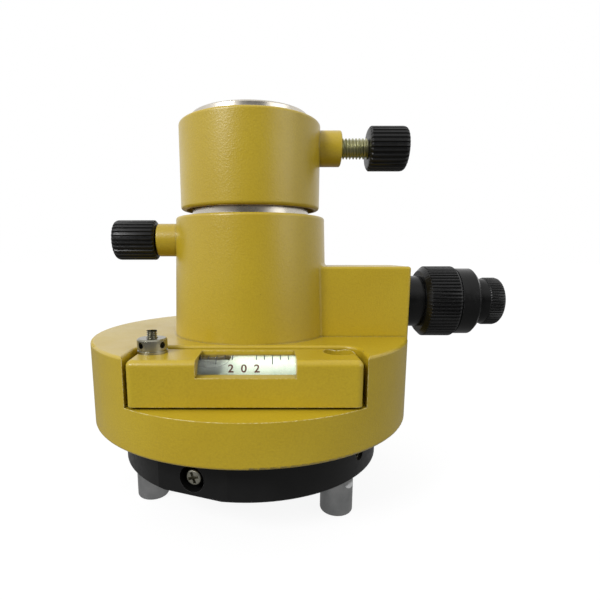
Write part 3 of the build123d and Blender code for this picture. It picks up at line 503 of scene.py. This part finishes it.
def eyepiece_knob():
    low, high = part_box("eyepiece_knob")
    length = high.x - low.x
    radius = (high.z - low.z) / 2
    bore = 5.9 * MM
    bore_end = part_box("eyepiece_tube")[1].x + 0.05 * MM - low.x
    eye_radius = 3.0 * MM
    skirt = 3.7 * MM
    profile = (
        (0.6 * MM, bore, 0.0),
        (0.0, bore + 0.05 * MM, 0.0),
        (0.0, radius - 1.10 * MM, 0.0),
        (0.10 * MM, radius - 1.00 * MM, 0.0),
        (1.70 * MM, radius - 0.36 * MM, 0.0),
        (skirt, radius - 0.35 * MM, 0.0),
        (skirt + 0.02 * MM, radius - 0.20 * MM, 0.0),
        (skirt + 0.20 * MM, radius - 0.04 * MM, 0.6),
        (skirt + 0.32 * MM, radius, 1.0),
        (length - 1.6 * MM, radius, 1.0),
        (length - 0.9 * MM, radius - 0.22 * MM, 0.9),
        (length - 0.4 * MM, radius - 0.70 * MM, 0.3),
        (length - 0.1 * MM, radius - 1.25 * MM, 0.0),
        (length, radius - 1.7 * MM, 0.0),
        (length, eye_radius + 1.1 * MM, 0.0),
        (bore_end + 0.2 * MM, eye_radius, 0.0),
        (bore_end, eye_radius, 0.0),
        (bore_end, bore, 0.0),
    )
    return plummet_ring("eyepiece_knob", "eyepiece_knob", profile, 52, 0.26 * MM)


# Level vial

def vial_geometry():
    """Centre and radius of the glass tube."""
    low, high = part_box("vial")
    return (low + high) / 2, (high.z - low.z) / 2


def tube_point(centre, along, angle, radius):
    """Point round the vial's axis; angle 0 is the top and grows towards -Y."""
    return (centre.x + along, centre.y - radius * sin(angle), centre.z + radius * cos(angle))


def vial_glass():
    """Glass tube with rounded sealed ends and a bore."""
    centre, radius = vial_geometry()
    low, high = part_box("vial")
    half = (high.x - low.x) / 2
    wall = VIAL_WALL
    rounding = 0.9 * MM
    outer = []
    for step in range(7):
        turn = pi / 12 * step
        outer.append((half - rounding * (1 - cos(turn)), radius - rounding * (1 - sin(turn))))
    outer_side = [(-along, r) for along, r in outer] + list(reversed(outer))
    bore_half = half - 1.2 * MM
    bore_side = [(-bore_half, radius - wall - 0.3 * MM), (-bore_half + 0.4 * MM, radius - wall)]
    bore_side += [(-along, r) for along, r in reversed(bore_side)]
    mesh_data = bmesh.new()
    for side in (outer_side, bore_side):
        rings = []
        for along, r in side:
            points = [tube_point(centre, along, tau * step / 96, r) for step in range(96)]
            rings.append([mesh_data.verts.new(point) for point in points])
        skin_rings(mesh_data, rings)
        cap_ring(mesh_data, rings[0], (centre.x + side[0][0], centre.y, centre.z))
        cap_ring(mesh_data, rings[-1], (centre.x + side[-1][0], centre.y, centre.z))
    return make_object("vial_tube", mesh_data, "vial_glass", "level", replaces=("vial",))


def vial_spirit():
    """Spirit in the bore, hollowed at the top by the bubble."""
    centre, radius = vial_geometry()
    low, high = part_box("vial_liquid")
    liquid_radius = radius - VIAL_WALL - 0.01 * MM
    bubble_half = Vector((5.0, 2.6, 1.6)) * MM
    bubble_place = BUBBLE_X - centre.x
    bubble_height = liquid_radius + 0.3 * MM - bubble_half.z
    columns = 220
    around = 120
    mesh_data = bmesh.new()
    rings = []
    for column in range(columns + 1):
        along = (high.x - low.x - 0.1 * MM) * (column / columns - 0.5)
        share = (along - bubble_place) / bubble_half.x
        ring = []
        for step in range(around):
            angle = tau * step / around
            r = liquid_radius
            if abs(share) < 1:
                r = min(r, bubble_floor(angle, share, bubble_half, bubble_height, liquid_radius))
            ring.append(mesh_data.verts.new(tube_point(centre, along, angle, r)))
        rings.append(ring)
    skin_rings(mesh_data, rings)
    for ring, side in ((rings[0], -1), (rings[-1], 1)):
        end = centre.x + side * (high.x - low.x - 0.1 * MM) / 2
        cap_ring(mesh_data, ring, (end, centre.y, centre.z))
    return make_object("vial_spirit", mesh_data, "spirit", "level", replaces=("vial_liquid",))


def bubble_floor(angle, share, half, height, free_radius):
    """Distance from the tube's axis to the bubble's underside, along one angle."""
    across, up = sin(angle) / half.y, cos(angle) / half.z
    offset = height / half.z
    a = across * across + up * up
    b = -2 * up * offset
    c = offset * offset - (1 - share * share)
    root = b * b - 4 * a * c
    if root < 0:
        return free_radius
    nearest = (-b - sqrt(root)) / (2 * a)
    return nearest if nearest > 0 else free_radius


def curved_strip(mesh_data, centre, radius, along_range, angle_range, steps=14):
    """Thin strip on the tube between two places along it and two angles."""
    columns = []
    for along in along_range:
        column = []
        for step in range(steps + 1):
            angle = angle_range[0] + (angle_range[1] - angle_range[0]) * step / steps
            column.append(mesh_data.verts.new(tube_point(centre, along, angle, radius)))
        columns.append(column)
    skin_rings(mesh_data, columns, closed=False)


def vial_marks():
    """Two groups of five graduations, 2 mm apart, the middle one of each group longer."""
    centre, radius = vial_geometry()
    middle = MARKS_MIDDLE
    line_half = 0.13 * MM
    mesh_data = bmesh.new()
    for side in (-1, 1):
        for index in range(5):
            along = middle + side * (3 + 2 * index) * MM
            reach = radians(44 if index == 2 else 27)
            span = (along - line_half, along + line_half)
            curved_strip(mesh_data, centre, radius + PRINT_HEIGHT, span, (radians(-16), reach))
    return make_object("vial_graduations", mesh_data, "black_print", "level")


def vial_figures():
    """Plain index figures on the glass, one for each long graduation and one for the middle."""
    centre, radius = vial_geometry()
    size = 2.9 * MM
    middle = MARKS_MIDDLE
    mesh_data = bmesh.new()
    for text, place_along in (("2", -3.2 * MM), ("0", 0.0), ("2", 3.2 * MM)):
        curve = bpy.data.curves.new("figure", "FONT")
        curve.body = text
        curve.size = size
        curve.align_x = "CENTER"
        curve.offset = 0.07 * MM
        figure = bpy.data.objects.new("figure", curve)
        flat = bpy.data.meshes.new_from_object(figure)
        for vertex in flat.vertices:
            drop = 5.9 * MM - vertex.co.y
            angle = drop / radius
            along = middle + place_along + vertex.co.x
            vertex.co = tube_point(centre, along, angle, radius + PRINT_HEIGHT)
        mesh_data.from_mesh(flat)
        bpy.data.objects.remove(figure)
    return make_object("vial_figures", mesh_data, "brown_print", "level")


def vial_backing():
    """White enamel strip in the holder, behind and below the glass."""
    centre, radius = vial_geometry()
    mesh_data = bmesh.new()
    for r in (radius + 0.06 * MM, radius + 0.12 * MM):
        columns = []
        for along in (-13.6 * MM, 13.6 * MM):
            angles = [radians(78 + 260 * step / 60) for step in range(61)]
            columns.append([mesh_data.verts.new(tube_point(centre, along, angle, r)) for angle in angles])
        skin_rings(mesh_data, columns, closed=False)
    return make_object("vial_backing", mesh_data, "white_enamel", "level")


# Stage

def make_floor():
    """Pale round floor that fades to white away from the object."""
    material, tree, shader = new_material("studio_floor")
    where = place(tree)
    mottle = ramp(tree, noise(tree, where, 9, 2.0), 0.3, 0.7)
    pale = blend_colours(tree, mottle, (0.86, 0.86, 0.86, 1), (0.89, 0.89, 0.89, 1))
    plug(tree, shader.inputs["Base Color"], pale)
    shader.inputs["Roughness"].default_value = 0.8
    distance = add(tree, "ShaderNodeVectorMath", {0: where}, operation="LENGTH").outputs["Value"]
    fade = ramp(tree, distance, 0.05, 0.13, 0.88, 1.0)
    seen = add(tree, "ShaderNodeLightPath").outputs["Is Camera Ray"]
    glow = ramp(tree, seen, 0.0, 1.0, 0.24, 1.03)
    white = add(tree, "ShaderNodeEmission", {"Color": (1, 1, 1, 1), "Strength": glow})
    mix = add(tree, "ShaderNodeMixShader")
    tree.links.new(fade, mix.inputs[0])
    tree.links.new(shader.outputs["BSDF"], mix.inputs[1])
    tree.links.new(white.outputs["Emission"], mix.inputs[2])
    tree.links.new(mix.outputs["Shader"], tree.nodes["Material Output"].inputs["Surface"])

    mesh_data = bmesh.new()
    bmesh.ops.create_circle(mesh_data, cap_ends=True, segments=128, radius=4.0)
    mesh = bpy.data.meshes.new("studio_floor")
    mesh_data.to_mesh(mesh)
    mesh_data.free()
    mesh.materials.append(material)
    floor = bpy.data.objects.new("studio_floor", mesh)
    floor.location = (0, 0, cad_low.z)
    bpy.context.scene.collection.objects.link(floor)


def make_world():
    """White studio tent, bright at the sides and overhead, dim where the photographer stands."""
    world = bpy.data.worlds.new("studio")
    world.use_nodes = True
    tree = world.node_tree
    background = tree.nodes["Background"]
    direction = add(tree, "ShaderNodeTexCoord").outputs["Generated"]
    parts = add(tree, "ShaderNodeSeparateXYZ", {0: direction})
    across = ramp(tree, parts.outputs["X"], -1.0, 1.0, 0.95, 0.90)
    front = ramp(tree, parts.outputs["Y"], -0.95, -0.40, 0.16, 1.0)
    overhead = ramp(tree, parts.outputs["Z"], 0.25, 0.75, 0.0, 0.90)
    side = calculate(tree, "MULTIPLY", across, front)
    tent = calculate(tree, "MAXIMUM", side, overhead)
    seen = add(tree, "ShaderNodeLightPath").outputs["Is Camera Ray"]
    plug(tree, background.inputs["Strength"], calculate(tree, "MAXIMUM", tent, seen))
    background.inputs["Color"].default_value = (1, 1, 1, 1)
    bpy.context.scene.world = world


def area_light(name, place_at, aim, size, power, colour=(1, 1, 1)):
    light = bpy.data.lights.new(name, "AREA")
    light.shape = "DISK"
    light.size = size
    light.energy = power
    light.color = colour
    lamp = bpy.data.objects.new(name, light)
    lamp.location = place_at
    lamp.rotation_euler = (Vector(aim) - Vector(place_at)).to_track_quat("-Z", "Y").to_euler()
    bpy.context.scene.collection.objects.link(lamp)


def make_lights():
    aim = (0, 0, 0.04)
    area_light("key_left", (-0.44, -0.50, 0.50), aim, 0.26, 4.6)
    area_light("fill_right", (0.60, -0.42, 0.30), aim, 0.50, 1.0)


def make_camera():
    """Camera level with the plummet, tipped down 10 degrees, as close as a hand-held macro shot."""
    data = bpy.data.cameras.new("camera")
    data.sensor_width = 36.0
    data.lens = 26.95
    data.shift_x = 0.0463
    data.shift_y = 0.0565
    data.clip_start = 0.01
    data.clip_end = 20.0
    camera = bpy.data.objects.new("camera", data)
    camera.location = (0.00664, -0.14195, 0.06077)
    camera.rotation_euler = (radians(80), 0, 0)
    bpy.context.scene.collection.objects.link(camera)
    bpy.context.scene.camera = camera


make_camera()
make_world()
make_lights()
make_floor()
dress_frame()
clamp_knob("upper_clamp_knob", "upper_screw", 1)
clamp_knob("lower_clamp_knob", "lower_screw", -1)
clamp_thread("upper_clamp_screw", "upper_screw", 1)
clamp_thread("lower_clamp_screw", "lower_screw", -1)
level_stud_thread()
focusing_ring()
eyepiece_knob()
vial_glass()
vial_spirit()
vial_marks()
vial_figures()
vial_backing()

bpy.context.scene.view_settings.view_transform = "Standard"
